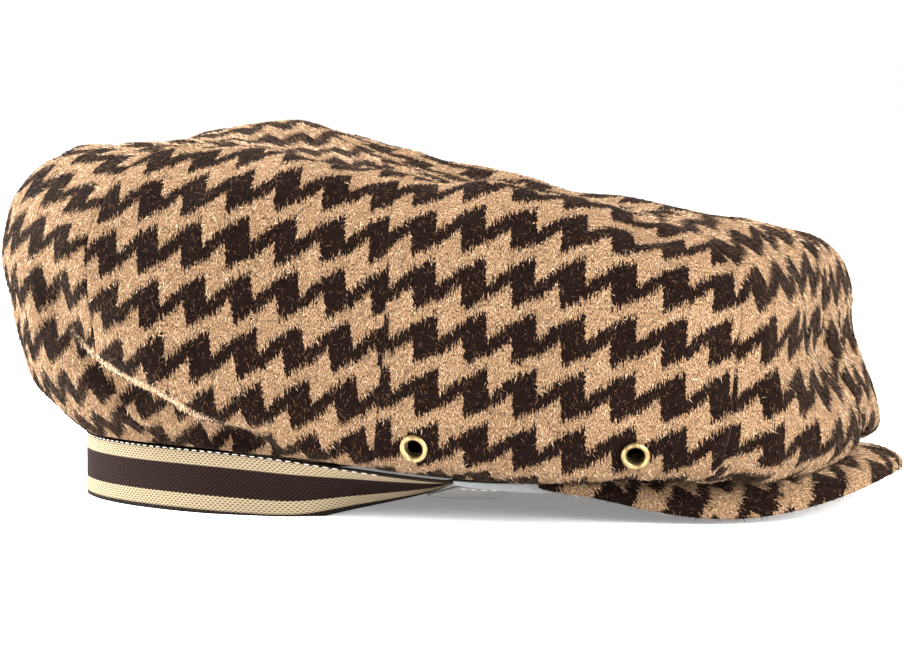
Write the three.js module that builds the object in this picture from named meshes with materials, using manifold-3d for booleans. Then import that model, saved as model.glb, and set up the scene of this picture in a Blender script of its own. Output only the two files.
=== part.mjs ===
// Driving cap: a soft crown of brushed houndstooth wool in eight gores, a short arched peak,
// a striped ribbon sweatband, a small label and four brass vent eyelets.
// Millimetres, +Z up, +X to the front of the cap, +Y to the wearer's left. The cap rests on z = 0.
import * as THREE from "three";
import { mergeVertices } from "three/addons/utils/BufferGeometryUtils.js";
import Module from "manifold-3d";

const wasm = await Module();
wasm.setup();

// Driving dimensions
const CLOTH = 2; // thickness of the brushed wool
const GAP = 0.3; // clearance between neighbouring pieces
const SEAM_GAP = 0.4; // clearance between neighbouring gores
const CROWN_RINGS = 24; // facets from the crown's edge to the middle of its top

// The crown is sewn from eight gores, four on each side. Each runs from the edge up over the rim
// to a point at the middle of the top, between two seams. A seam is an angle from the front.
const GORES = [
  { name: "front", from: 0, to: 37, columns: 8 },
  { name: "fore_side", from: 37, to: 90, columns: 10 },
  { name: "hind_side", from: 90, to: 139, columns: 10 },
  { name: "rear", from: 139, to: 180, columns: 8 },
];
const GORE_TIP = 0.1; // how far below the last section's level the points end

// Horizontal sections of the crown, from its edge up over the rim to the middle of the top.
// Each is a rounded outline: seamX is where the side seams cross it, front, rear and half are its
// reaches from there, and the corner powers make it squarer above 2. The heights run round it.
const CROWN_SECTIONS = [
  { name: "edge", seamX: -1.8, front: 103, rear: 110.2, half: 76, frontCorner: 2.1, rearCorner: 2.1,
    zFront: 20, zFrontCorner: 13, zSide: 14.7, zRearCorner: 18.6, zRear: 18.5 },
  { name: "tuck", seamX: 0, front: 125.5, rear: 118.5, half: 83.5, frontCorner: 3.1, rearCorner: 2.3,
    zFront: 19.5, zFrontCorner: 14.5, zSide: 20, zRearCorner: 26, zRear: 26 },
  { name: "low", seamX: 2, front: 122.8, rear: 128, half: 87, frontCorner: 3.7, rearCorner: 2.6,
    zFront: 28, zFrontCorner: 25.5, zSide: 32, zRearCorner: 38, zRear: 38 },
  { name: "belly", seamX: 5, front: 112.6, rear: 135, half: 89.5, frontCorner: 4.2, rearCorner: 2.9,
    zFront: 46, zFrontCorner: 48, zSide: 54, zRearCorner: 58, zRear: 60 },
  { name: "high", seamX: 6, front: 110, rear: 135.8, half: 90, frontCorner: 4.5, rearCorner: 3,
    zFront: 62, zFrontCorner: 66, zSide: 75, zRearCorner: 80, zRear: 80 },
  { name: "shoulder", seamX: 6, front: 103.2, rear: 125, half: 84, frontCorner: 4, rearCorner: 2.9,
    zFront: 76, zFrontCorner: 80, zSide: 91, zRearCorner: 98.5, zRear: 99 },
  { name: "rim", seamX: 6, front: 88, rear: 101, half: 70, frontCorner: 3.2, rearCorner: 2.7,
    zFront: 82.5, zFrontCorner: 87.6, zSide: 98.5, zRearCorner: 106, zRear: 107 },
  { name: "inner", seamX: 5, front: 58, rear: 68, half: 46, frontCorner: 2.6, rearCorner: 2.4,
    zFront: 85, zFrontCorner: 88.5, zSide: 95, zRearCorner: 103, zRear: 105 },
  { name: "hollow", seamX: 4, front: 28, rear: 32, half: 23, frontCorner: 2.1, rearCorner: 2.1,
    zFront: 87, zFrontCorner: 89, zSide: 91, zRearCorner: 95, zRear: 97 },
  { name: "middle", seamX: 3, front: 0, rear: 0, half: 0, frontCorner: 2, rearCorner: 2,
    zFront: 90, zFrontCorner: 90, zSide: 90, zRearCorner: 90, zRear: 90 },
];
const TOP_LEVEL = CROWN_SECTIONS.length - 1;
const FREE_LEVEL = 0.375; // from here up the cloth is free to fold

// Folds and dents pressed into the crown, each along a line between two places on it. A place is
// an angle in degrees from the front towards the wearer's right, and a level that counts the
// sections above. A depth below 0 is a roll or puff that stands out.
const at = (angle, level) => ({ angle, level });
const FOLDS = [
  { name: "right rear tuck", from: at(146, 3), to: at(119, 0.6), depth: 5, width: 10 },
  { name: "right rear roll", from: at(132, 2.9), to: at(108, 1.2), depth: -2.5, width: 12 },
  { name: "left rear tuck", from: at(-150, 2.8), to: at(-124, 0.6), depth: 4, width: 11 },
  { name: "left rear roll", from: at(-134, 2.9), to: at(-112, 1.3), depth: -2, width: 12 },
  { name: "right front pleat", from: at(33, 1), to: at(34, 2.5), depth: 2.5, width: 6 },
  { name: "left front pleat", from: at(-31, 1), to: at(-34, 2.3), depth: 2.5, width: 6 },
  { name: "front pinch", from: at(6, 2.9), to: at(-4, 4), depth: 3, width: 11 },
  { name: "top valley", from: at(150, 7), to: at(62, 7.3), depth: 4, width: 20 },
  { name: "left rear rim puff", from: at(-134, 6), to: at(-147, 6.2), depth: -4.5, width: 20 },
  { name: "left rear rim dip", from: at(-132, 6.1), to: at(-127, 6.1), depth: 1.8, width: 10 },
  { name: "left rim puff", from: at(-115, 6.2), to: at(-106, 6.2), depth: -2, width: 10 },
  { name: "left front rim dip", from: at(-106, 6.4), to: at(-36, 6), depth: 6.6, width: 26 },
  { name: "right front rim roll", from: at(68, 6), to: at(49, 6), depth: -4, width: 15 },
  { name: "front rim puff", from: at(26, 5.8), to: at(12, 5.7), depth: -2.5, width: 13 },
  { name: "rear rim puff", from: at(178, 5.1), to: at(172, 5.3), depth: -1.4, width: 9 },
  { name: "rear rim notch", from: at(164, 6), to: at(196, 5.9), depth: 3, width: 10 },
  { name: "front rim notch", from: at(44, 5.6), to: at(38, 6.8), depth: 3.2, width: 12 },
];

// Ribbon sweatband: at the back it hangs straight down from the crown's edge, and towards the
// front it turns in and then up inside the crown. The tilt is measured from straight down.
const RIBBON = { width: 19, thickness: 1, columns: 80, strips: 2 };
const RIBBON_INSET = 3.4; // from the crown's edge, where the ribbon has turned up inside it
const RIBBON_RISE = 0.6; // of the sewn line above the crown's edge there
const RIBBON_TURNS = [
  { angle: 0, tilt: 166 },
  { angle: 44, tilt: 166 },
  { angle: 62, tilt: 122 },
  { angle: 76, tilt: 80 },
  { angle: 90, tilt: 60 },
  { angle: 100, tilt: 44 },
  { angle: 112, tilt: 14 },
  { angle: 128, tilt: 0 },
  { angle: 180, tilt: 0 },
];

// Peak: its root follows the crown's edge and its rim stands out by reach in the middle and by
// endReach at its ends. The bow lifts it between root and rim, most at three quarters of the way.
const PEAK = { halfAngle: 56, reach: 34.5, endReach: 1, taper: 2.3, thickness: 3.8, bow: 2.4 };
const PEAK_COLUMNS = 32;
const PEAK_ROWS = 5;
const PEAK_SEAT = 1.2; // how far the root lies under the crown's edge
const PEAK_RIM_HEIGHTS = [10.2, 2.4, 2.6, 7.7]; // undersides of the rim, from its middle to its end

// Label: sewn inside the edge between two angles, hanging down and inwards, and pulled aside by
// skew so that its free end lies further back.
const LABEL = { fromAngle: 71.5, toAngle: 57.5, inset: 5, drop: 2, length: 8.5, lean: 66, skew: 10.5 };
const LABEL_THICKNESS = 1;
const LABEL_COLUMNS = 4;

// Eyelets: rolled brass, gripping the cloth that is pinched thin between flange and curl.
const EYELET = { bore: 2.5, barrel: 2.9, flange: 4, flangeHeight: 1.2, curl: 3.8, curlDepth: 0.6 };
const EYELET_PINCH = 1.4; // thickness of the gripped cloth
const EYELET_ROLL = 0.6; // height of the flange's rounded crest
const EYELET_SIDES = 14;
const EYELET_GORE = "fore_side"; // the gore on each side that both of its eyelets go through
const EYELET_PLACES = [
  { name: "rear", angle: 82, level: 1.44 },
  { name: "front", angle: 48, level: 1.75 },
];

const material = (color, roughness, metalness = 0) =>
  new THREE.MeshStandardMaterial({ color, roughness, metalness });
const WOOL_FRONT = material(0xa07850, 0.95);
const WOOL_REAR = material(0x8a6644, 0.95);
const WOOL_PEAK = material(0x6b4c34, 0.95);
const STRIPED_RIBBON = material(0x3a2a26, 0.7);
const WHITE_LABEL = material(0xe8e6e2, 0.6);
const BRASS = material(0xc9ac6d, 0.3, 1);

const radians = THREE.MathUtils.degToRad;
const smooth = (value, low, high) => THREE.MathUtils.smoothstep(value, low, high);

// Heights and outlines

// A smooth even curve through values that are spread equally over half a turn.
function cosineThrough(values, angle) {
  const last = values.length - 1;
  let sum = 0;
  for (let k = 0; k <= last; k++) {
    let weight = 0;
    values.forEach((value, j) => {
      const share = j === 0 || j === last ? 0.5 : 1;
      weight += share * value * Math.cos((Math.PI * j * k) / last);
    });
    weight *= (k === 0 || k === last ? 1 : 2) / last;
    sum += weight * Math.cos(k * angle);
  }
  return sum;
}

// A column of the section table at a level between its rows.
function sectionValue(column, level) {
  const row = Math.min(Math.floor(level), TOP_LEVEL - 1);
  const at = (i) => CROWN_SECTIONS[THREE.MathUtils.clamp(i, 0, TOP_LEVEL)][column];
  const t = level - row;
  const [before, start, end, after] = [at(row - 1), at(row), at(row + 1), at(row + 2)];
  const startSlope = (end - before) / 2;
  const endSlope = (after - start) / 2;
  return (
    start * (2 * t ** 3 - 3 * t ** 2 + 1) +
    startSlope * (t ** 3 - 2 * t ** 2 + t) +
    end * (3 * t ** 2 - 2 * t ** 3) +
    endSlope * (t ** 3 - t ** 2)
  );
}

// How far the smooth crown reaches from its seam line at a level, in the direction of an angle.
function crownRadius(angle, level) {
  const value = (column) => sectionValue(column, level);
  const forward = Math.cos(angle);
  const reach = value(forward > 0 ? "front" : "rear");
  const power = value(forward > 0 ? "frontCorner" : "rearCorner");
  const aside = Math.sin(angle) / value("half");
  return (Math.abs(forward / reach) ** power + Math.abs(aside) ** power) ** (-1 / power);
}

// A place on the smooth crown, before its folds.
function crownPoint(angle, level) {
  const value = (column) => sectionValue(column, level);
  const heights = ["zFront", "zFrontCorner", "zSide", "zRearCorner", "zRear"].map(value);
  const radius = crownRadius(angle, level);
  return new THREE.Vector3(
    value("seamX") + radius * Math.cos(angle),
    -radius * Math.sin(angle),
    cosineThrough(heights, angle),
  );
}

// Solids from grids of points

function geometryOf(points, triangles) {
  const geometry = new THREE.BufferGeometry().setFromPoints(points);
  geometry.setIndex(triangles.flat());
  const merged = mergeVertices(geometry, 1e-4);
  const kept = [];
  for (let i = 0; i < merged.index.count; i += 3) {
    const [a, b, c] = [0, 1, 2].map((k) => merged.index.getX(i + k));
    if (a !== b && b !== c && c !== a) kept.push(a, b, c);
  }
  return merged.setIndex(kept);
}

// A closed wall between two matching grids of rows and columns. A looped wall joins its last
// column to its first.
function wallBetween(outer, inner, looped = false) {
  const rows = outer.length;
  const columns = outer[0].length;
  const points = [...outer.flat(), ...inner.flat()];
  const id = (side, row, column) => (side * rows + row) * columns + (column % columns);
  const triangles = [];
  const quad = (a, b, c, d) => triangles.push([a, b, c], [a, c, d]);
  const steps = looped ? columns : columns - 1;
  for (let row = 0; row < rows - 1; row++)
    for (let column = 0; column < steps; column++) {
      const corners = (side) => [
        id(side, row, column),
        id(side, row, column + 1),
        id(side, row + 1, column + 1),
        id(side, row + 1, column),
      ];
      quad(...corners(0));
      quad(...corners(1).reverse());
    }
  for (let column = 0; column < steps; column++) {
    quad(id(0, 0, column + 1), id(0, 0, column), id(1, 0, column), id(1, 0, column + 1));
    const top = rows - 1;
    quad(id(0, top, column), id(0, top, column + 1), id(1, top, column + 1), id(1, top, column));
  }
  if (!looped)
    for (let row = 0; row < rows - 1; row++) {
      const end = columns - 1;
      quad(id(0, row, 0), id(0, row + 1, 0), id(1, row + 1, 0), id(1, row, 0));
      quad(id(0, row + 1, end), id(0, row, end), id(1, row, end), id(1, row + 1, end));
    }
  return facingOut(geometryOf(points, triangles));
}

function facingOut(geometry) {
  const [a, b, c] = [new THREE.Vector3(), new THREE.Vector3(), new THREE.Vector3()];
  const { position } = geometry.attributes;
  const index = geometry.index.array;
  let volume = 0;
  for (let i = 0; i < index.length; i += 3) {
    [a, b, c].forEach((corner, k) => corner.fromBufferAttribute(position, index[i + k]));
    volume += a.dot(b.cross(c));
  }
  return volume < 0 ? geometry.setIndex([...index].reverse()) : geometry;
}

function solidOf(geometry) {
  const bare = geometry.clone();
  bare.deleteAttribute("normal");
  bare.deleteAttribute("uv");
  const merged = mergeVertices(bare, 1e-4);
  const mesh = new wasm.Mesh({
    numProp: 3,
    vertProperties: new Float32Array(merged.attributes.position.array),
    triVerts: new Uint32Array(merged.index.array),
  });
  return new wasm.Manifold(mesh);
}

function geometryFrom(solid) {
  const mesh = solid.getMesh();
  return new THREE.BufferGeometry()
    .setAttribute("position", new THREE.BufferAttribute(mesh.vertProperties, 3))
    .setIndex(new THREE.BufferAttribute(mesh.triVerts, 1));
}

// Crown

// Outward direction of a surface of angle and level.
function outwardOf(surface, angle, level) {
  const turn = 0.01;
  const rise = 0.02;
  const round = surface(angle + turn, level).sub(surface(angle - turn, level));
  const up = surface(angle, level + rise).sub(surface(angle, Math.max(level - rise, 0)));
  return up.cross(round).normalize();
}

const foldLines = FOLDS.map((fold) => {
  const place = ({ angle, level }) => crownPoint(radians(angle), level);
  return new THREE.Line3(place(fold.from), place(fold.to));
});

// A place on the crown with its folds, which die out just above the sewn edge.
function crownSurface(angle, level) {
  const point = crownPoint(angle, level);
  const near = new THREE.Vector3();
  let press = 0;
  FOLDS.forEach((fold, i) => {
    const distance = foldLines[i].closestPointToPoint(point, true, near).distanceTo(point);
    press += fold.depth * Math.exp(-((distance / fold.width) ** 2));
  });
  const free = smooth(level, 0, FREE_LEVEL);
  return point.addScaledVector(outwardOf(crownPoint, angle, level), -press * free);
}

// One gore, clear of its neighbours by half a gap along both of its seams. Side is 1 on the
// wearer's right and -1 on the left.
function gore({ from, to, columns }, side) {
  const outer = [];
  const inner = [];
  for (let ring = 0; ring <= CROWN_RINGS; ring++) {
    const level = (ring / CROWN_RINGS) * (TOP_LEVEL - GORE_TIP);
    const clear = (angle) => SEAM_GAP / 2 / crownRadius(radians(angle), level);
    const [first, last] = [radians(from) + clear(from), radians(to) - clear(to)];
    const angles = Array.from({ length: columns + 1 }, (_, column) =>
      side * THREE.MathUtils.lerp(first, last, column / columns),
    );
    const points = angles.map((angle) => crownSurface(angle, level));
    const normals = angles.map((angle) => outwardOf(crownSurface, angle, level));
    if (ring === 0) normals.forEach((normal) => normal.setZ(Math.min(normal.z, 0)).normalize());
    outer.push(points);
    inner.push(points.map((point, i) => point.clone().addScaledVector(normals[i], -CLOTH)));
  }
  return wallBetween(outer, inner);
}

// Place and outward direction of an eyelet on the finished crown, on its wearer's right side.
function eyeletPlace({ angle, level }) {
  const outward = outwardOf(crownPoint, radians(angle), level);
  const sunk = (EYELET_PINCH - CLOTH) / 2;
  const point = crownPoint(radians(angle), level).addScaledVector(outward, sunk);
  return { point, outward };
}

function turnedTo(outward) {
  return new THREE.Quaternion().setFromUnitVectors(new THREE.Vector3(0, 1, 0), outward);
}

function disc(radius, from, to, place) {
  const geometry = new THREE.CylinderGeometry(radius, radius, to - from, EYELET_SIDES);
  geometry.translate(0, (from + to) / 2, 0);
  geometry.applyQuaternion(turnedTo(place.outward));
  geometry.translate(...place.point);
  return solidOf(geometry);
}

const mirrored = ({ point, outward }) => ({
  point: point.clone().setY(-point.y),
  outward: outward.clone().setY(-outward.y),
});
const eyelets = EYELET_PLACES.flatMap((row) => {
  const right = eyeletPlace(row);
  return [
    { name: `eyelet_right_${row.name}`, ...right },
    { name: `eyelet_left_${row.name}`, ...mirrored(right) },
  ];
});

// The holes, and the flat seats that flange and curl press into the cloth.
function eyeletCuts(place) {
  const far = 8; // well past both faces of the cloth
  return disc(EYELET.barrel + GAP, -far, far, place)
    .add(disc(EYELET.flange + GAP, 0, far, place))
    .add(disc(EYELET.curl + GAP, -far, -EYELET_PINCH, place));
}

function piercedGore(row, side) {
  let solid = solidOf(gore(row, side));
  for (const place of eyelets) solid = solid.subtract(eyeletCuts(place));
  return geometryFrom(solid);
}

function eyeletGeometry() {
  const { bore, barrel, flange, flangeHeight, curl, curlDepth } = EYELET;
  const lip = flangeHeight - EYELET_ROLL / 2;
  const shoulder = flangeHeight - EYELET_ROLL;
  const curlTop = -EYELET_PINCH - GAP;
  const crest = (bore + flange) / 2;
  const profile = [
    [bore, lip],
    [bore, curlTop - curlDepth],
    [curl, curlTop - curlDepth],
    [curl, curlTop],
    [barrel, curlTop],
    [barrel, GAP],
    [flange, GAP],
    [flange, shoulder],
    [crest, flangeHeight],
    [bore, lip],
  ];
  const points = profile.map(([radius, height]) => new THREE.Vector2(radius, height));
  return new THREE.LatheGeometry(points, EYELET_SIDES);
}

// Sweatband

const edgePoint = (angle) => crownPoint(angle, 0);

// Level direction from the crown's edge towards the head, square to the edge.
function inwardAt(angle) {
  const step = 0.01;
  const along = edgePoint(angle + step).sub(edgePoint(angle - step));
  return new THREE.Vector3(along.y, -along.x, 0).normalize();
}

function ribbonTilt(turn) {
  const next = Math.max(RIBBON_TURNS.findIndex((row) => row.angle >= turn), 1);
  const [before, after] = [RIBBON_TURNS[next - 1], RIBBON_TURNS[next]];
  return THREE.MathUtils.mapLinear(turn, before.angle, after.angle, before.tilt, after.tilt);
}

// The ribbon's strip at one angle: where it is sewn, which way it runs and which way it faces.
function ribbonStrip(angle) {
  const turn = THREE.MathUtils.radToDeg(Math.abs(Math.atan2(Math.sin(angle), Math.cos(angle))));
  const tilt = radians(ribbonTilt(turn));
  const inward = inwardAt(angle);
  const half = RIBBON.thickness / 2;
  const under = smooth(tilt, radians(40), radians(105));
  const risen = smooth(tilt, radians(100), radians(RIBBON_TURNS[0].tilt));
  const inset = THREE.MathUtils.lerp(CLOTH / 2, RIBBON_INSET, under);
  const hang = GAP + half * Math.sin(Math.min(tilt, Math.PI / 2));
  const drop = THREE.MathUtils.lerp(hang, -RIBBON_RISE, risen);
  const start = edgePoint(angle).addScaledVector(inward, inset);
  start.z -= drop;
  const down = new THREE.Vector3(0, 0, -1);
  const run = down.clone().multiplyScalar(Math.cos(tilt)).addScaledVector(inward, Math.sin(tilt));
  const face = inward.clone().multiplyScalar(Math.cos(tilt)).addScaledVector(down, -Math.sin(tilt));
  return { start, run, face };
}

function sweatband() {
  const side = (sign) =>
    Array.from({ length: RIBBON.strips + 1 }, (_, row) =>
      Array.from({ length: RIBBON.columns }, (_, column) => {
        const { start, run, face } = ribbonStrip((column / RIBBON.columns) * 2 * Math.PI);
        const point = start.addScaledVector(run, (row / RIBBON.strips) * RIBBON.width);
        point.addScaledVector(face, (sign * RIBBON.thickness) / 2);
        return point.setZ(Math.max(point.z, 0));
      }),
    );
  return wallBetween(side(-1), side(1), true);
}

// Peak

function peakPoint(share, out) {
  const angle = radians(PEAK.halfAngle) * share;
  const outward = inwardAt(angle).negate();
  const root = edgePoint(angle);
  const middling = Math.cos((Math.PI / 2) * share);
  const reach = PEAK.reach * middling ** PEAK.taper + PEAK.endReach;
  const point = root.clone().addScaledVector(outward, THREE.MathUtils.lerp(-PEAK_SEAT, reach, out));
  const rimHeight = Math.max(cosineThrough(PEAK_RIM_HEIGHTS, Math.PI * share), 0) + PEAK.thickness;
  const bow = PEAK.bow * middling * (256 / 27) * out ** 3 * (1 - out);
  return point.setZ(THREE.MathUtils.lerp(root.z - GAP, rimHeight, out) + bow);
}

function peak() {
  const grid = (drop) =>
    Array.from({ length: PEAK_ROWS + 1 }, (_, row) =>
      Array.from({ length: PEAK_COLUMNS + 1 }, (_, column) => {
        const point = peakPoint((2 * column) / PEAK_COLUMNS - 1, row / PEAK_ROWS);
        return point.setZ(point.z - drop);
      }),
    );
  return wallBetween(grid(0), grid(PEAK.thickness));
}

// Label

function label() {
  const lean = radians(LABEL.lean);
  const side = (sign) =>
    [0, 1].map((end) =>
      Array.from({ length: LABEL_COLUMNS + 1 }, (_, column) => {
        const share = column / LABEL_COLUMNS;
        const angle = radians(THREE.MathUtils.lerp(LABEL.fromAngle, LABEL.toAngle, share));
        const inward = inwardAt(angle);
        const point = edgePoint(angle).addScaledVector(inward, LABEL.inset);
        point.z -= LABEL.drop + LABEL.length * end * Math.cos(lean);
        point.addScaledVector(inward, LABEL.length * end * Math.sin(lean));
        point.addScaledVector(new THREE.Vector3(-inward.y, inward.x, 0), LABEL.skew * end);
        point.addScaledVector(inward, ((sign * LABEL_THICKNESS) / 2) * Math.cos(lean));
        return point.setZ(point.z + ((sign * LABEL_THICKNESS) / 2) * Math.sin(lean));
      }),
    );
  return wallBetween(side(-1), side(1));
}

// Assembly

const cap = new THREE.Group();

function addPiece(name, geometry, finish) {
  const piece = new THREE.Mesh(geometry, finish);
  piece.name = name;
  cap.add(piece);
  return piece;
}

for (const [sideName, side] of [["right", 1], ["left", -1]])
  for (const row of GORES) {
    const geometry = row.name === EYELET_GORE ? piercedGore(row, side) : gore(row, side);
    addPiece(`gore_${sideName}_${row.name}`, geometry, row.from < 90 ? WOOL_FRONT : WOOL_REAR);
  }
addPiece("peak", peak(), WOOL_PEAK);
addPiece("sweatband", sweatband(), STRIPED_RIBBON);
addPiece("label", label(), WHITE_LABEL);
for (const place of eyelets) {
  const eyelet = addPiece(place.name, eyeletGeometry(), BRASS);
  eyelet.position.copy(place.point);
  eyelet.quaternion.copy(turnedTo(place.outward));
}

// The origin is on the surface that the cap rests on, under the middle of its outline.
const outline = new THREE.Box3().setFromObject(cap);
const middle = outline.getCenter(new THREE.Vector3());
cap.position.set(-middle.x, -middle.y, -outline.min.z);

export default cap;
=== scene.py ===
import math
from functools import partial

import bpy
import numpy as np
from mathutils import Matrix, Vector


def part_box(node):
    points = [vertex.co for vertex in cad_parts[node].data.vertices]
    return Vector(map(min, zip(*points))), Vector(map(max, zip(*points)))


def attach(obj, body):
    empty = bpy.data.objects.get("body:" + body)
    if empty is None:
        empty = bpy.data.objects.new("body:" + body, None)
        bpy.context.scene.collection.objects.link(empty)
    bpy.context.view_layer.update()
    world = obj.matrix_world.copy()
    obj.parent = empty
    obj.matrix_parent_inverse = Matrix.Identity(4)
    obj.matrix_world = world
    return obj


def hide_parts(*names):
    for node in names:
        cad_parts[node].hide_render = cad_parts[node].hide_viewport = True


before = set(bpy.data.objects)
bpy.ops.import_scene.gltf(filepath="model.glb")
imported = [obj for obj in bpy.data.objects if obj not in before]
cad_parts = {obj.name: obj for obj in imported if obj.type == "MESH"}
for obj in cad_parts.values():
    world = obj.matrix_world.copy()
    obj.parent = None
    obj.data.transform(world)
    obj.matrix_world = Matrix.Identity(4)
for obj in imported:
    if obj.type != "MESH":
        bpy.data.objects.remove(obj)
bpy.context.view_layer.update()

# Camera
# The view is of the cap's right side, turned a little towards the front and just above the table,
# through a long lens that takes in the whole cap.
IMAGE_WIDTH = 904
FOCAL_PIXELS = 4000
CAMERA_DISTANCE = 1.2
CAMERA_AZIMUTH = math.radians(15)
CAMERA_ELEVATION = math.radians(4)
AIM_ASIDE = -0.0019
AIM_HEIGHT = 0.05175


def placed(name, data):
    """A new object of the scene."""
    item = bpy.data.objects.new(name, data)
    bpy.context.scene.collection.objects.link(item)
    return item


def aimed(item, axis, direction):
    """Turns an object's axis to a direction."""
    item.rotation_mode = "QUATERNION"
    item.rotation_quaternion = Vector(direction).to_track_quat(axis, "Y")


camera = placed("camera", bpy.data.cameras.new("camera"))
bpy.context.scene.camera = camera
camera.data.sensor_width = 36
camera.data.lens = camera.data.sensor_width * FOCAL_PIXELS / IMAGE_WIDTH
looking = Vector((
    -math.sin(CAMERA_AZIMUTH) * math.cos(CAMERA_ELEVATION),
    math.cos(CAMERA_AZIMUTH) * math.cos(CAMERA_ELEVATION),
    -math.sin(CAMERA_ELEVATION),
))
aim = Vector((math.cos(CAMERA_AZIMUTH), math.sin(CAMERA_AZIMUTH), 0)) * AIM_ASIDE
aim.z = AIM_HEIGHT
camera.location = aim - looking * CAMERA_DISTANCE
aimed(camera, "-Z", looking)

# Crown
# Eight gores of brushed wool, 2 mm thick, are sewn edge to edge. Each runs from the head opening
# up over the rim to a point at the middle of the top, and the soft crown has slumped into folds.
CLOTH = 0.002
TIP_FROM_SEAM_LINE = 0.1367  # from the line of the side seams to the tip of the peak
peak_low, peak_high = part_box("peak")
seam_line_x = peak_high.x - TIP_FROM_SEAM_LINE
middle_y = (peak_low.y + peak_high.y) / 2

# Level sections of the crown from its edge up to the middle of its top: where the side seams
# cross it, its reach to the front, to the rear and to each side, how square its front and rear
# corners are, and five heights from the front round to the rear.
CROWN_SECTIONS = {
    "edge": (-0.0018, 0.1030, 0.1102, 0.0760, 2.1, 2.1, 0.0200, 0.0130, 0.0147, 0.0186, 0.0185),
    "tuck": (0, 0.1226, 0.1185, 0.0835, 3.0, 2.3, 0.0197, 0.0145, 0.0200, 0.0260, 0.0260),
    "low": (0.0020, 0.1236, 0.1280, 0.0870, 3.7, 2.6, 0.0280, 0.0255, 0.0320, 0.0380, 0.0380),
    "belly": (0.0050, 0.1126, 0.1350, 0.0895, 4.2, 2.9, 0.0460, 0.0480, 0.0540, 0.0580, 0.0600),
    "high": (0.0060, 0.1100, 0.1358, 0.0900, 4.5, 3, 0.0620, 0.0660, 0.0750, 0.0800, 0.0800),
    "shoulder": (0.0060, 0.1032, 0.1250, 0.0840, 4, 2.9, 0.0760, 0.0800, 0.0910, 0.0985, 0.0990),
    "rim": (0.0060, 0.0880, 0.1010, 0.0700, 3.2, 2.7, 0.0825, 0.0876, 0.0985, 0.1060, 0.1070),
    "inner": (0.0050, 0.0580, 0.0680, 0.0460, 2.6, 2.4, 0.0850, 0.0885, 0.0950, 0.1030, 0.1050),
    "hollow": (0.0040, 0.0280, 0.0320, 0.0230, 2.1, 2.1, 0.0870, 0.0890, 0.0910, 0.0950, 0.0970),
    "middle": (0.0030, 0, 0, 0, 2, 2, 0.0900, 0.0900, 0.0900, 0.0900, 0.0900),
}
section_rows = np.array(list(CROWN_SECTIONS.values()))
TOP_LEVEL = len(section_rows) - 1

# Folds and dents: a line from one place to another, each an angle in degrees from the front
# towards the wearer's right and a level among the sections, then depth and width. A depth below
# zero is a roll or a puff.
FOLDS = {
    "right rear tuck": ((146, 3), (119, 0.6), 0.0050, 0.010),
    "right rear roll": ((132, 2.9), (108, 1.2), -0.0025, 0.012),
    "left rear tuck": ((-150, 2.8), (-124, 0.6), 0.0040, 0.011),
    "left rear roll": ((-134, 2.9), (-112, 1.3), -0.0020, 0.012),
    "right front pleat": ((33, 1), (34, 2.5), 0.0025, 0.006),
    "left front pleat": ((-31, 1), (-34, 2.3), 0.0025, 0.006),
    "right front sag": ((13, 0.95), (33, 0.95), -0.0045, 0.011),
    "left front sag": ((-13, 0.7), (-33, 0.7), -0.0028, 0.009),
    "front pinch": ((6, 2.9), (-4, 4), 0.0030, 0.011),
    "top valley": ((150, 7), (62, 7.3), 0.0040, 0.020),
    "left rear rim puff": ((-134, 6), (-147, 6.2), -0.0045, 0.020),
    "left rear rim dip": ((-132, 6.1), (-127, 6.1), 0.0018, 0.010),
    "left rim puff": ((-115, 6.2), (-106, 6.2), -0.0020, 0.010),
    "left front rim dip": ((-106, 6.4), (-36, 6), 0.0066, 0.026),
    "right front rim roll": ((68, 6), (49, 6), -0.0040, 0.015),
    "front rim puff": ((26, 5.8), (12, 5.7), -0.0025, 0.013),
    "rear rim puff": ((178, 5.1), (172, 5.3), -0.0014, 0.009),
    "rear rim notch": ((164, 6), (196, 5.9), 0.0030, 0.010),
    "front rim notch": ((44, 5.6), (38, 6.8), 0.0032, 0.012),
}
FREE_LEVEL = 0.375  # from here up the cloth is free to fold

# Sharper creases along a few places each: how high the lip stands, how far it is rounded on the
# left of its run, seen from outside, and how far it drops over on the right.
CREASES = {
    "right rear lip": (
        ((150, 3.0), (141.5, 2.49), (134.8, 2.22), (129.5, 2.06), (124.8, 1.76), (119.5, 1.46), (114, 1)),
        0.0044, 0.0100, 0.0012,
    ),
    "left rear lip": (
        ((-120, 1.4), (-128, 1.9), (-136, 2.2), (-143, 2.4), (-150, 2.7)),
        0.0030, 0.0100, 0.0013,
    ),
    "right upper pleat": (((36.2, 2.6), (38.2, 2.08), (40.5, 1.55)), 0.0012, 0.0030, 0.0010),
    "right lower pleat": (((35.5, 2), (37.2, 1.5), (37.6, 1.1)), 0.0010, 0.0025, 0.0010),
    "left pleat": (((-41, 1.5), (-38, 2), (-36, 2.4)), 0.0011, 0.0030, 0.0010),
    "upper front wrinkle": (((14, 3.6), (2, 3.3), (-12, 3.1)), 0.0014, 0.0040, 0.0015),
    "lower front wrinkle": (((12, 2.2), (0, 2.8), (-10, 3.0)), 0.0012, 0.0040, 0.0015),
}
CREASE_LEAN = 0.45  # how far a lip leans over, as a share of its height
CREASE_RISEN = 0.25  # share of its run where a lip has its full height
CREASE_FALLS = 0.7  # and where it starts to fall again
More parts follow.
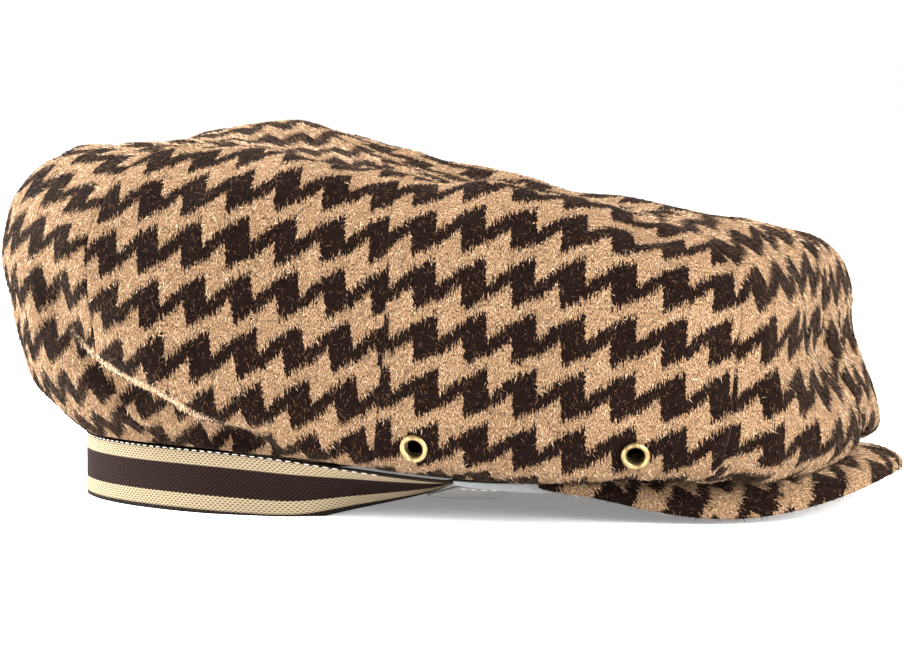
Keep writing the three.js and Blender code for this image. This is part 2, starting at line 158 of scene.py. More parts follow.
# Painted light along the lips: a painted highlight on the nap above each lip's line and painted shade in
# the crease below it.
LIP_HIGHLIGHT_WIDTH = 0.0013  # of the painted highlight above the line of a lip
LIP_HIGHLIGHT_ABOVE = LIP_HIGHLIGHT_WIDTH * 0.8  # from the line up to its middle
CREASE_SHADE_WIDTH = 0.0006  # of the painted shade below the line
PAINTED_LIGHT_FADES = 3 * LIP_HIGHLIGHT_WIDTH  # from the line, where all painted highlight and shade start to end
PAINTED_LIGHT_ENDS = 4 * LIP_HIGHLIGHT_WIDTH
FULL_PAINTED_LIGHT = 0.0036  # height of a lip whose painted highlight and shade are full
LIP_HIGHLIGHT_STRENGTH = 0.75


def smooth_step(value, low, high):
    share = np.clip((value - low) / (high - low), 0, 1)
    return share * share * (3 - 2 * share)


def cosine_through(values, angle):
    """A smooth even curve through values that are spread equally over half a turn."""
    last = len(values) - 1
    total = 0
    for k in range(last + 1):
        weight = 0
        for j, value in enumerate(values):
            share = 0.5 if j in (0, last) else 1
            weight = weight + share * value * math.cos(math.pi * j * k / last)
        weight = weight * (1 if k in (0, last) else 2) / last
        total = total + weight * np.cos(k * angle)
    return total


def section_at(level):
    """The section table's columns at levels between its rows."""
    row = np.clip(np.floor(level).astype(int), 0, TOP_LEVEL - 1)
    t = (level - row)[..., None]
    before, start, end, after = (
        section_rows[np.clip(row + step, 0, TOP_LEVEL)] for step in (-1, 0, 1, 2)
    )
    value = (
        start * (2 * t**3 - 3 * t**2 + 1)
        + (end - before) / 2 * (t**3 - 2 * t**2 + t)
        + end * (3 * t**2 - 2 * t**3)
        + (after - start) / 2 * (t**3 - t**2)
    )
    return np.moveaxis(value, -1, 0)


def crown_radius(angle, level):
    front, rear, half, front_corner, rear_corner = section_at(level)[1:6]
    forward = np.cos(angle)
    reach = np.where(forward > 0, front, rear)
    power = np.where(forward > 0, front_corner, rear_corner)
    spread = np.abs(forward / reach) ** power + np.abs(np.sin(angle) / half) ** power
    return spread ** (-1 / power)


def crown_point(angle, level):
    """Places on the smooth crown, before its folds."""
    angle, level = np.broadcast_arrays(np.asarray(angle, float), np.asarray(level, float))
    section = section_at(level)
    radius = crown_radius(angle, level)
    x = seam_line_x + section[0] + radius * np.cos(angle)
    return np.stack([x, middle_y - radius * np.sin(angle), cosine_through(section[6:], angle)], -1)


def unit(vectors):
    return vectors / np.linalg.norm(vectors, axis=-1, keepdims=True)


UP = np.array([0, 0, 1.0])
ANGLE_STEP = 0.01
LEVEL_STEP = 0.02


def outward_of(surface, angle, level):
    """Outward directions of a surface, from small steps round it and up it."""
    round_it = surface(angle + ANGLE_STEP, level) - surface(angle - ANGLE_STEP, level)
    up_it = surface(angle, level + LEVEL_STEP) - surface(angle, np.maximum(level - LEVEL_STEP, 0))
    return unit(np.cross(up_it, round_it))


def travelled(points):
    """How far each point lies along its run down the grid's rows."""
    steps = np.linalg.norm(np.diff(points, axis=0), axis=-1)
    return np.concatenate([np.zeros_like(steps[:1]), np.cumsum(steps, axis=0)])


def nearest_on_line(points, start, end):
    """Offsets of points from the nearest place on a line, and how far along it that is."""
    along = end - start
    share = np.clip((points - start) @ along / (along @ along), 0, 1)
    return points - start - share[..., None] * along, share


def folded_crown(angle, level):
    """Places on the crown's outer face, with its folds."""
    point = crown_point(angle, level)
    press = 0
    for start, end, depth, width in FOLDS.values():
        line = [crown_point(math.radians(place[0]), place[1]) for place in (start, end)]
        offset, _ = nearest_on_line(point, *line)
        press = press + depth * np.exp(-((np.linalg.norm(offset, axis=-1) / width) ** 2))
    free = smooth_step(level, 0, FREE_LEVEL)
    return point - outward_of(crown_point, angle, level) * (press * free)[..., None]


# The slight unevenness of soft cloth: a few long waves in set directions.
WAVES = 14
WAVE_HEIGHT = 0.00022
WAVE_LENGTHS = (0.016, 0.042)
WAVE_SEED = 5
wave_source = np.random.default_rng(WAVE_SEED)
wave_lines = unit(wave_source.normal(size=(WAVES, 3)))
wave_lengths = wave_source.uniform(*WAVE_LENGTHS, WAVES)
wave_starts = wave_source.uniform(0, math.tau, WAVES)


def unevenness(points):
    turns = points @ (wave_lines / wave_lengths[:, None]).T * math.tau + wave_starts
    return WAVE_HEIGHT * np.sin(turns).sum(-1)


crease_lines = {
    name: [folded_crown(np.array(math.radians(angle)), np.array(float(level))) for angle, level in places]
    for name, (places, *sizes) in CREASES.items()
}


def crease_places(points, outward):
    """For each crease: its sizes, distance, side of its line, nearness to its ends, way down over it."""
    for name, (places, *sizes) in CREASES.items():
        line = crease_lines[name]
        legs = len(line) - 1
        nearest = np.full(points.shape[:-1], np.inf)
        side = np.zeros(points.shape[:-1])
        fade = np.zeros(points.shape[:-1])
        lower = np.zeros(points.shape)
        for leg, (start, end) in enumerate(zip(line, line[1:])):
            offset, share = nearest_on_line(points, start, end)
            distance = np.linalg.norm(offset, axis=-1)
            over = unit(np.cross(outward, unit(end - start)))
            closer = distance < nearest
            nearest = np.where(closer, distance, nearest)
            side = np.where(closer, (offset * over).sum(-1), side)
            whole = (leg + share) / legs
            ends = smooth_step(whole, 0, CREASE_RISEN) * smooth_step(whole, 1, CREASE_FALLS)
            fade = np.where(closer, ends, fade)
            lower = np.where(closer[..., None], -over, lower)
        yield sizes, nearest, side, fade, lower


def crease_shift(points, outward):
    """How the creases' lips move points of the crown."""
    shift = np.zeros(points.shape)
    for (height, above, below), nearest, side, fade, lower in crease_places(points, outward):
        reach = np.where(side > 0, above, below)
        lip = height * fade * np.exp(-((nearest / reach) ** 2))
        lean = CREASE_LEAN * height * fade * np.exp(-((nearest / (2 * below)) ** 2))
        shift = shift + outward * lip[..., None] + lower * lean[..., None]
    return shift


def crease_painted_light(points, outward):
    """Painted light of the creases: a painted highlight along the lips, above zero, and painted shade in
    the creases, below.
    """
    painted_light = np.zeros(points.shape[:-1])
    for (height, *_), nearest, side, fade, _ in crease_places(points, outward):
        near = fade * smooth_step(nearest, PAINTED_LIGHT_ENDS, PAINTED_LIGHT_FADES)
        near = near * min(height / FULL_PAINTED_LIGHT, 1) ** 2
        painted_light = painted_light + near * np.exp(-(((side - LIP_HIGHLIGHT_ABOVE) / LIP_HIGHLIGHT_WIDTH) ** 2)) * LIP_HIGHLIGHT_STRENGTH
        painted_light = painted_light - near * np.exp(-(((side + CREASE_SHADE_WIDTH) / CREASE_SHADE_WIDTH) ** 2))
    return painted_light


def crown_surface(angle, level):
    """Places on the crown's outer face, with its folds, creases and unevenness."""
    point = folded_crown(angle, level)
    outward = outward_of(folded_crown, angle, level)
    free = smooth_step(level, 0, FREE_LEVEL)[..., None]
    return point + (crease_shift(point, outward) + outward * unevenness(point)[..., None]) * free


# Eyelet places, where the cloth is pierced and pinched flat: angle, level.
EYELET_PLACES = {"rear": (82, 1.44), "front": (48, 1.75)}
EYELET_SEAT = 0.0043  # radius of the pinched cloth
EYELET_SEAT_END = EYELET_SEAT * 1.5  # radius where it has its full thickness again
EYELET_SINK = CLOTH / 3  # how far it is pressed in from outside
EYELET_HOLE = 0.0031
EYELET_PINCH = 0.0014  # thickness of the gripped cloth
EYELET_NEAR = 0.02  # along its axis, where the cloth is its own
eyelets = {}
for place_name, (angle, level) in EYELET_PLACES.items():
    for side_name, side in (("right", 1), ("left", -1)):
        turn = np.array(math.radians(angle) * side)
        outward = outward_of(crown_point, turn, np.array(level))
        centre = crown_point(turn, level) + outward * (EYELET_PINCH - CLOTH) / 2
        eyelets[f"eyelet_{side_name}_{place_name}"] = (centre, outward)


def eyelet_distance(points):
    """How far points lie from the axis of the nearest eyelet, near the cloth that it grips."""
    nearest = np.full(points.shape[:-1], np.inf)
    for centre, outward in eyelets.values():
        offset = points - centre
        height = offset @ outward
        aside = np.linalg.norm(offset - height[..., None] * outward, axis=-1)
        nearest = np.minimum(nearest, np.where(np.abs(height) < EYELET_NEAR, aside, np.inf))
    return nearest


def quads_of(ids):
    """Quads between the neighbouring rows and columns of a grid of point numbers."""
    corners = (ids[:-1, :-1], ids[:-1, 1:], ids[1:, 1:], ids[1:, :-1])
    return np.stack(corners, -1).reshape(-1, 4)


def wall_faces(rows, columns, looped=False):
    """Quads of the closed wall between two grids of points, the outer one listed first."""
    ids = np.arange(2 * rows * columns).reshape(2, rows, columns)
    if looped:
        ids = np.concatenate([ids, ids[:, :, :1]], axis=2)
    outer, inner = ids
    walls = [
        quads_of(outer),
        quads_of(inner)[:, ::-1],
        quads_of(np.stack([inner[0], outer[0]])),
        quads_of(np.stack([outer[-1], inner[-1]])),
    ]
    if not looped:
        walls.append(quads_of(np.stack([inner[:, 0], outer[:, 0]], 1)))
        walls.append(quads_of(np.stack([outer[:, -1], inner[:, -1]], 1)))
    return np.concatenate(walls)


def facing_out(points, faces):
    """The faces of a closed mesh, turned round if they face inwards."""
    a, b, c = (points[faces[:, k]] for k in range(3))
    c_far, d = points[faces[:, -2]], points[faces[:, -1]]
    volume = (a * np.cross(b, c)).sum() + (a * np.cross(c_far, d)).sum()
    return faces if volume > 0 else faces[:, ::-1]


def mesh_of(name, points, faces):
    mesh = bpy.data.meshes.new(name)
    mesh.vertices.add(len(points))
    mesh.vertices.foreach_set("co", points.astype(np.float32).ravel())
    mesh.loops.add(faces.size)
    mesh.loops.foreach_set("vertex_index", faces.astype(np.int32).ravel())
    mesh.polygons.add(len(faces))
    starts = np.arange(0, faces.size, faces.shape[1], dtype=np.int32)
    mesh.polygons.foreach_set("loop_start", starts)
    mesh.update(calc_edges=True)
    return mesh


def new_piece(name, points, faces, materials, cloth_map=None, smooth=True):
    """A mesh object in the frame. The cloth map gives each point its place on the flat cloth."""
    mesh = mesh_of(name, points, faces)
    if cloth_map is not None:
        layer = mesh.uv_layers.new(name="cloth")
        layer.uv.foreach_set("vector", cloth_map[faces.ravel()].astype(np.float32).ravel())
    for material in materials:
        mesh.materials.append(material)
    if smooth:
        mesh.shade_smooth()
    return placed(name, mesh)


def walled_piece(name, outer, inner, material, cloth_map, looped=False):
    """A closed wall between two grids of points, with the same cloth map on both faces."""
    both = np.concatenate([outer.reshape(-1, 3), inner.reshape(-1, 3)])
    faces = facing_out(both, wall_faces(*outer.shape[:2], looped))
    return new_piece(name, both, faces, [material], np.tile(cloth_map.reshape(-1, 2), (2, 1)))


def set_inputs(tree, node, values):
    """Sets a node's inputs, by name or number, to values, or links them to sockets."""
    for place, value in values.items():
        if isinstance(value, bpy.types.NodeSocket):
            tree.links.new(value, node.inputs[place])
        else:
            node.inputs[place].default_value = value


def new_node(tree, kind, values, **settings):
    node = tree.nodes.new(f"ShaderNode{kind}")
    for name, value in settings.items():
        setattr(node, name, value)
    set_inputs(tree, node, values)
    return node


def math_node(tree, operation, *values):
    return new_node(tree, "Math", dict(enumerate(values)), operation=operation).outputs[0]


def stretched_noise(tree, vector, across, along, detail):
    """Noise with so many cells to a unit across and along the vector's first two axes."""
    scaled = new_node(tree, "VectorMath", {0: vector, 1: (across, along, 1)}, operation="MULTIPLY")
    noise = new_node(tree, "TexNoise", {"Vector": scaled.outputs[0], "Scale": 1, "Detail": detail})
    return noise.outputs["Fac"]


def spread_out(tree, value, low, high):
    """A value stretched from the range low to high to the range 0 to 1."""
    node = new_node(tree, "MapRange", {"Value": value, "From Min": low, "From Max": high})
    return node.outputs["Result"]


def mix_colours(tree, factor, first, second):
    """Two colours mixed, by the sockets of the Mix node that take and give colours."""
    return new_node(tree, "Mix", {0: factor, 6: first, 7: second}, data_type="RGBA").outputs[2]


def bumped(tree, shader, height, strength, distance):
    bump = new_node(tree, "Bump", {"Height": height, "Strength": strength, "Distance": distance})
    set_inputs(tree, shader, {"Normal": bump.outputs["Normal"]})


def linear(red, green, blue):
    """A colour as the shader wants it, from the eight-bit values that a screen shows."""
    shares = [value / 255 for value in (red, green, blue)]
    return (*[s / 12.92 if s <= 0.04045 else ((s + 0.055) / 1.055) ** 2.4 for s in shares], 1)


def new_material(name):
    """A material with its node tree and its shader."""
    material = bpy.data.materials.new(name)
    material.use_nodes = True
    return material, material.node_tree, material.node_tree.nodes["Principled BSDF"]


def cloth_places(tree):
    return new_node(tree, "UVMap", {}, uv_map="cloth").outputs[0]


def object_places(tree):
    return new_node(tree, "TexCoord", {}).outputs["Object"]


# The houndstooth: columns of camel and of dark yarn, each half a repeat wide. A dark band steps
# across every camel column and a flatter camel band across every dark one.
REPEAT_WIDTH = 0.0139
REPEAT_HEIGHT = 0.0155
DARK_SLOPE = 0.62  # rise in repeats of height for a repeat of width
CAMEL_SLOPE = 0.38
DARK_BAND = 0.32  # share of a camel column
CAMEL_BAND = 0.23  # share of a dark column
CAMEL_START = 0.625  # height of the camel band above the dark one
HAIR_CARRY = 0.62  # range in repeats over which brushed hairs carry a colour up and down
COLUMN_SWAY = 0.16  # and over which the columns sway

houndstooth = bpy.data.node_groups.new("brushed_houndstooth", "ShaderNodeTree")
houndstooth.interface.new_socket("Cloth", in_out="INPUT", socket_type="NodeSocketVector")
for output in ("Dark", "Nap"):
    houndstooth.interface.new_socket(output, in_out="OUTPUT", socket_type="NodeSocketFloat")
cloth_in = houndstooth.nodes.new("NodeGroupInput").outputs["Cloth"]
houndstooth_out = houndstooth.nodes.new("NodeGroupOutput")
split = new_node(houndstooth, "SeparateXYZ", {0: cloth_in})
weave = partial(math_node, houndstooth)
hairs = stretched_noise(houndstooth, cloth_in, across=34, along=5, detail=3)
waver = stretched_noise(houndstooth, cloth_in, across=9, along=14, detail=2)
combed = weave("ADD", split.outputs["Y"], weave("MULTIPLY_ADD", hairs, HAIR_CARRY, -HAIR_CARRY / 2))
swayed = weave("ADD", split.outputs["X"], weave("MULTIPLY_ADD", waver, COLUMN_SWAY, -COLUMN_SWAY / 2))
column = weave("FRACT", swayed)
dark_column = weave("GREATER_THAN", column, 0.5)
place_in_column = weave("MULTIPLY_ADD", dark_column, -0.5, column)
dark_height = weave("MULTIPLY_ADD", place_in_column, -DARK_SLOPE, combed)
camel_height = weave("MULTIPLY_ADD", place_in_column, -CAMEL_SLOPE, combed)
camel_height = weave("SUBTRACT", camel_height, CAMEL_START)
dark_band = weave("LESS_THAN", weave("FRACT", dark_height), DARK_BAND)
camel_band = weave("LESS_THAN", weave("FRACT", camel_height), CAMEL_BAND)
in_dark_column = weave("MULTIPLY", dark_column, weave("SUBTRACT", 1.0, camel_band))
in_camel_column = weave("MULTIPLY", dark_band, weave("SUBTRACT", 1.0, dark_column))
set_inputs(houndstooth, houndstooth_out, {
    "Dark": weave("ADD", in_dark_column, in_camel_column),
    "Nap": stretched_noise(houndstooth, cloth_in, across=62, along=22, detail=4),
})

# Colours of the wool: deep and pale camel, a paler camel for the painted highlight along the creases' lips,
# deep and pale brown, and the sheen's tint.
CAMEL_DEEP = linear(57, 40, 27)
CAMEL_PALE = linear(151, 121, 92)
CAMEL_LIP_HIGHLIGHT = linear(196, 165, 133)
BROWN_DEEP = linear(6, 3, 2)
BROWN_PALE = linear(29, 18, 14)
WOOL_SHEEN_TINT = linear(240, 206, 172)
STREAKS = (0.38, 0.62)  # range of the nap's noise from the deep colours to the pale ones
LIP_HIGHLIGHT_STREAKS = (0.18, 0.42)  # range of the painted highlight times streaks from none to full
# How far the painted shade in the creases darkens the wool.
CREASE_SHADE_STRENGTH = 0.95


def wool_material(name):
    material, tree, shader = new_material(name)
    pattern = new_node(tree, "Group", {"Cloth": cloth_places(tree)}, node_tree=houndstooth)
    streaks = spread_out(tree, pattern.outputs["Nap"], *STREAKS)
    camel = mix_colours(tree, streaks, CAMEL_DEEP, CAMEL_PALE)
    brown = mix_colours(tree, streaks, BROWN_DEEP, BROWN_PALE)
    colour = mix_colours(tree, pattern.outputs["Dark"], camel, brown)
    # Painted light from the creases: a painted highlight of pale camel on the lips and painted shade of
    # deep brown in the creases.
    painted_light = new_node(tree, "Attribute", {}, attribute_name="painted_light").outputs["Fac"]
    lip_highlight = math_node(tree, "MULTIPLY", math_node(tree, "MAXIMUM", painted_light, 0.0), streaks)
    crease_shade = math_node(tree, "MULTIPLY", math_node(tree, "MINIMUM", painted_light, 0.0), -CREASE_SHADE_STRENGTH)
    colour = mix_colours(tree, spread_out(tree, lip_highlight, *LIP_HIGHLIGHT_STREAKS), colour, CAMEL_LIP_HIGHLIGHT)
    set_inputs(tree, shader, {
        "Base Color": mix_colours(tree, crease_shade, colour, BROWN_DEEP),
        "Roughness": 1,
        "Specular IOR Level": 0.03,
        "Sheen Weight": 0.08,
        "Sheen Roughness": 0.15,
        "Sheen Tint": WOOL_SHEEN_TINT,
    })
    bumped(tree, shader, pattern.outputs["Nap"], strength=0.8, distance=0.0008)
    return material


crown_wool = wool_material("crown_wool")

# Each gore lies between two seams, given as angles from the front. On each side of the cap its
# cloth starts at its own place in the repeat (across, up) and is cut at its own slant in degrees.
GORES = {
    "front": (0, 37, {"right": (0.90, 0.80, 1), "left": (0.2, 0.1, 0)}),
    "fore_side": (37, 90, {"right": (0.05, 0.05, 0), "left": (0.4, 0.3, 1)}),
    "hind_side": (90, 139, {"right": (0.80, 0.80, 4.5), "left": (0.1, 0.6, -3)}),
    "rear": (139, 180, {"right": (0, 0.05, 2), "left": (0.7, 0.2, -5)}),
}
LOW_RINGS = 80  # below the high level, where the creases are
HIGH_RINGS = 70
HIGH_LEVEL = 3.2
GORE_COLUMNS = {"front": 32, "fore_side": 52, "hind_side": 72, "rear": 56}
GORE_TIP = 0.05  # how far below the last section's level the points end
SEAM_CROWDING = 0.6  # how much closer the columns stand towards the seams
FLATTENING_ROUNDS = 40
CLOTH_LEVEL = 2.94  # where the cloth lies level at the middle of each gore
SEAM_CLEAR = 0.00005
SEAM_DEPTH = 0.0003
SEAM_WIDTH = 0.0008
SEAM_BARE = 0.0001  # from a seam, where no hairs root
EDGE_BARE = 0.0016  # and from the edge
NAP_DEPTH = 0.0006  # how far the cloth lies under the tops of its hairs
PUNCH_SIDES = 32
brushed = {}  # outer faces for the nap of each piece


def on_the_cloth(across, up, start, slant):
    """The cloth map, in repeats, of places in metres across and up from the middle of a cut."""
    turned = math.radians(slant)
    right = across * math.cos(turned) + up * math.sin(turned)
    rise = up * math.cos(turned) - across * math.sin(turned)
    return np.stack([right / REPEAT_WIDTH + start[0], rise / REPEAT_HEIGHT + start[1]], -1)


def grid_areas(points):
    first = points[1:, 1:] - points[:-1, :-1]
    second = points[1:, :-1] - points[:-1, 1:]
    return np.linalg.norm(np.cross(first, second), axis=-1) / 2


def flattened(points):
    """Places in metres of a gore's grid of points on the flat cloth that it was cut from."""
    faces = quads_of(np.arange(points[..., 0].size).reshape(points.shape[:2]))
    mesh = mesh_of("cut_cloth", points.reshape(-1, 3), faces)
    mesh.uv_layers.new(name="flat")
    cut_cloth = placed("cut_cloth", mesh)
    bpy.ops.object.select_all(action="DESELECT")
    bpy.context.view_layer.objects.active = cut_cloth
    cut_cloth.select_set(True)
    bpy.ops.object.mode_set(mode="EDIT")
    bpy.ops.mesh.select_all(action="SELECT")
    bpy.ops.uv.unwrap(method="MINIMUM_STRETCH", margin=0.0, no_flip=False, iterations=FLATTENING_ROUNDS)
    bpy.ops.object.mode_set(mode="OBJECT")
    corners = np.zeros(faces.size * 2, np.float32)
    mesh.uv_layers["flat"].uv.foreach_get("vector", corners)
    flat = np.zeros((points[..., 0].size, 3))
    flat[faces.ravel(), :2] = corners.reshape(-1, 2)
    bpy.data.objects.remove(cut_cloth)
    flat = flat.reshape(points.shape)
    return flat[..., :2] * math.sqrt(grid_areas(points).sum() / grid_areas(flat).sum())


def laid_level(flat, points, outward, row):
    """The flat cloth turned so that its right is level, seen from outside, at the middle of a row."""
    column = points.shape[1] // 2
    flat = flat - flat[row, column]
    level = unit(np.cross(UP, outward[row, column]))
    upward = np.cross(outward[row, column], level)
    right_of, left_of = (row, column + 1), (row, column - 1)
    above, below = (row + 1, column), (row - 1, column)
    steps, flat_steps = (
        np.stack([grid[right_of] - grid[left_of], grid[above] - grid[below]], -1) for grid in (points, flat)
    )
    right, rise = (flat_steps @ np.linalg.lstsq(steps, line, rcond=None)[0] for line in (level, upward))
    right = unit(right)
    across = flat @ right
    up = flat @ np.array([-right[1], right[0]])
    return across, up * np.sign(right[0] * rise[1] - right[1] * rise[0])


def twice_as_fine(grid):
    """A grid with new rows and columns half way between its own."""
    for axis in (0, 1):
        coarse = np.moveaxis(grid, axis, 0)
        fine = np.repeat(coarse, 2, 0)[:-1]
        fine[1::2] = (coarse[:-1] + coarse[1:]) / 2
        grid = np.moveaxis(fine, 0, axis)
    return grid


def gore_grid(first, last, side, columns):
    """Outer points, outward directions, cloth across and up, where it has no hairs, and its painted
    highlight and shade.
    """
    low_level = np.linspace(0, HIGH_LEVEL, LOW_RINGS, endpoint=False)
    high_level = np.linspace(HIGH_LEVEL, TOP_LEVEL - GORE_TIP, HIGH_RINGS + 1)
    level = np.concatenate([low_level, high_level])[:, None]
    even = np.linspace(0, 1, columns + 1)
    share = (1 - SEAM_CROWDING) * even + SEAM_CROWDING * (1 - np.cos(math.pi * even)) / 2
    first, last = np.radians((first, last))
    from_angle, to_angle = (
        seam + sign * SEAM_CLEAR / crown_radius(seam, level) for seam, sign in ((first, 1), (last, -1))
    )
    angle = from_angle + (to_angle - from_angle) * share
    level = np.broadcast_to(level, angle.shape)
    coarse = np.s_[::2, ::2]
    turn = angle * side
    draped = folded_crown(turn[coarse], level[coarse])
    draped_outward = outward_of(folded_crown, turn[coarse], level[coarse])
    row = np.searchsorted(level[::2, 0], CLOTH_LEVEL)
    laid = laid_level(flattened(draped), draped, draped_outward, row)
    across, up = (twice_as_fine(way) for way in laid)
    to_seam = np.minimum(angle - first, last - angle) * crown_radius(angle, level)
    points = crown_surface(turn, level)
    outward = outward_of(crown_surface, turn, level)
    outward[0, :, 2] = np.minimum(outward[0, :, 2], 0)
    outward = unit(outward)
    seat = eyelet_distance(points)
    pinch = EYELET_SINK * (1 - smooth_step(seat, EYELET_SEAT, EYELET_SEAT_END))
    valley = SEAM_DEPTH * np.exp(-((to_seam / SEAM_WIDTH) ** 2))
    points = points - outward * (valley + np.maximum(pinch, NAP_DEPTH))[..., None]
    bare = (to_seam < SEAM_BARE) | (travelled(points) < EDGE_BARE)
    painted_light = crease_painted_light(folded_crown(turn, level), outward_of(folded_crown, turn, level))
    return points, outward, across, up, bare.astype(float), painted_light


def pierced(piece, places):
    """Cuts the eyelets' holes through a piece of cloth."""
    for centre, outward in places:
        bpy.ops.mesh.primitive_cylinder_add(vertices=PUNCH_SIDES, radius=EYELET_HOLE, depth=EYELET_NEAR)
        punch = bpy.context.object
        punch.location = centre
        aimed(punch, "Z", outward)
        cut = piece.modifiers.new("punch", "BOOLEAN")
        cut.operation = "DIFFERENCE"
        cut.object = punch
        graph = bpy.context.evaluated_depsgraph_get()
        holed = bpy.data.meshes.new_from_object(piece.evaluated_get(graph))
        piece.modifiers.remove(cut)
        piece.data = holed
        bpy.data.objects.remove(punch)


for gore_name, (first, last, cuts) in GORES.items():
    for side_name, (start_across, start_up, slant) in cuts.items():
        side = 1 if side_name == "right" else -1
        points, outward, across, up, bare, painted_light = gore_grid(first, last, side, GORE_COLUMNS[gore_name])
        cloth_map = on_the_cloth(across, up, (start_across, start_up), slant)
        node = f"gore_{side_name}_{gore_name}"
        inner = points - outward * (CLOTH - NAP_DEPTH)
        gore = walled_piece(f"{node}_cloth", points, inner, crown_wool, cloth_map)
        # The creases' painted highlight and shade go into the cloth as a point attribute.
        painted_light_layer = gore.data.attributes.new("painted_light", "FLOAT", "POINT")
        painted_light_layer.data.foreach_set("value", np.tile(painted_light.ravel(), 2).astype(np.float32))
        if gore_name == "fore_side":
            pierced(gore, [place for name, place in eyelets.items() if side_name in name])
        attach(gore, "root")
        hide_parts(node)
        brushed[f"{node}_nap"] = (points, outward, cloth_map, bare, painted_light)

# Peak
# A stiff board covered with the same cloth on both faces, turned under at the rim and sewn to the
# crown's edge round the front. It arches down at the sides and bows up between root and rim.
PEAK_HALF_ANGLE = math.radians(56)
PEAK_REACH = 0.0345
PEAK_END_REACH = 0.001
PEAK_TAPER = 2.3
PEAK_THICKNESS = 0.0038
PEAK_END_THICKNESS = 0.0010
PEAK_THINNING = 14  # how late the thickness falls off towards the ends
RIM_SHARE = 0.45  # of the width that the rounded rim takes at most
PEAK_BOW = 0.0024
PEAK_SEAT = 0.0012  # how far the root lies under the crown's edge
PEAK_DROP = 0.0003  # from the crown's edge down to the root
PEAK_RIM_HEIGHTS = (0.0102, 0.0024, 0.0026, 0.0077)
PEAK_COLUMNS = 160
PEAK_ROWS = 22
RIM_ROWS = 8
RIM_GROOVE = 0.0004
RIM_GROOVE_TURN = 0.25  # half width of the groove, as a turn round the rim
PEAK_LEVEL = 0.6  # share of the way from root to rim where the cloth isn't stretched
PEAK_SLANT = 27
PEAK_START = (0.95, 0.10)


def inward_at(angle):
    """Level direction from the crown's edge towards the head, square to the edge."""
    along = crown_point(angle + ANGLE_STEP, 0) - crown_point(angle - ANGLE_STEP, 0)
    return unit(np.stack([along[..., 1], -along[..., 0], np.zeros(along.shape[:-1])], -1))


def peak_reach(share):
    """Width of the peak, with its seat, at a share of the way from its middle to its ends."""
    return PEAK_REACH * np.cos(math.pi / 2 * share) ** PEAK_TAPER + PEAK_END_REACH + PEAK_SEAT


def peak_point(share, out):
    angle = PEAK_HALF_ANGLE * share
    middling = np.cos(math.pi / 2 * share)
    root = crown_point(angle, 0)
    point = root - inward_at(angle) * (-PEAK_SEAT + peak_reach(share) * out)[..., None]
    rim = np.maximum(cosine_through(PEAK_RIM_HEIGHTS, math.pi * share), 0) + PEAK_THICKNESS
    # The curve out^3 (1 - out) is 27 / 256 where it is highest.
    bow = PEAK_BOW * middling * 256 / 27 * out**3 * (1 - out)
    root_height = root[..., 2] - PEAK_DROP
    point[..., 2] = root_height + (rim - root_height) * out + bow
    return point


share = np.linspace(-1, 1, PEAK_COLUMNS + 1)[None, :]
thickness = PEAK_THICKNESS - (PEAK_THICKNESS - PEAK_END_THICKNESS) * np.abs(share) ** PEAK_THINNING
reach = peak_reach(share)
edge_round = np.minimum(thickness / 2, reach * RIM_SHARE) / reach
out = np.linspace(0, 1, PEAK_ROWS)[:, None] * (1 - edge_round)
top = peak_point(np.broadcast_to(share, out.shape), out)
turn = np.linspace(0, math.pi, RIM_ROWS + 2)[1:-1, None]
from_groove = (turn - math.pi / 2) / RIM_GROOVE_TURN
groove = 1 - RIM_GROOVE / (PEAK_THICKNESS / 2) * np.exp(-(from_groove**2))
rim_out = 1 - edge_round + edge_round * np.sin(turn) * groove
rim = peak_point(np.broadcast_to(share, rim_out.shape), rim_out)
rim[..., 2] -= thickness / 2 * (1 - np.cos(turn))
under = top[::-1].copy()
under[..., 2] -= thickness
skin = np.concatenate([top, rim, under])
rows, columns = skin.shape[:2]
ids = np.arange(rows * columns).reshape(rows, columns)
half_rows = rows // 2
ends = [
    quads_of(np.stack([line[:half_rows], line[::-1][:half_rows]])) for line in (ids[:, 0], ids[::-1, -1])
]
faces = np.concatenate([quads_of(np.concatenate([ids, ids[:1]])), *ends])
flat_points = skin.reshape(-1, 3)
along = travelled(peak_point(share[0], np.full(share[0].shape, PEAK_LEVEL)))
across = np.broadcast_to(along[PEAK_COLUMNS // 2] - along, (rows, columns))
peak_map = on_the_cloth(across, -travelled(skin), PEAK_START, PEAK_SLANT)
peak_wool = wool_material("peak_wool")
peak = new_piece(
    "peak_cloth", flat_points, facing_out(flat_points, faces), [peak_wool], peak_map.reshape(-1, 2)
)
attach(peak, "root")
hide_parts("peak")
outward = unit(np.cross(np.gradient(skin, axis=1), np.gradient(skin, axis=0)))
outward = outward * np.sign(outward[PEAK_ROWS // 2, PEAK_COLUMNS // 2, 2])
even = np.zeros((rows, columns))
brushed["peak_nap"] = (skin, outward, peak_map, even, even)

# Nap
# The wool is brushed, so short hairs of its own colours lie down over the whole outer face. Each
# hair is a thin closed spike, rooted in the cloth where it has its colour.
HAIR_LENGTHS = (0.0009, 0.0022)
HAIR_WIDTHS = (0.000065, 0.000125)
HAIR_SPREAD = math.radians(36)
HAIR_SWIRL = math.radians(20)
HAIR_LIFTS = np.radians((4, 20))
HAIR_ROOT = 0.00012  # depth of the root in the cloth
HAIR_FLOOR = 0.00005  # lowest height of a tip
HAIR_JITTER = (0.02, 0.03)  # how far a hair strays from its colour's place, in repeats
HAIRS = 160000
SWIRLS = 9
SWIRL_TIGHTNESS = 14
TINY = 1e-12  # keeps a step of no length from dividing by zero
HAIR_SEED = 11
HAIR_COLOURS = {
    "camel_hair": (126, 99, 73),
    "pale_camel_hair": (207, 178, 147),
    "deep_camel_hair": (53, 37, 25),
    "brown_hair": (8, 5, 4),
    "soft_brown_hair": (94, 70, 54),
}
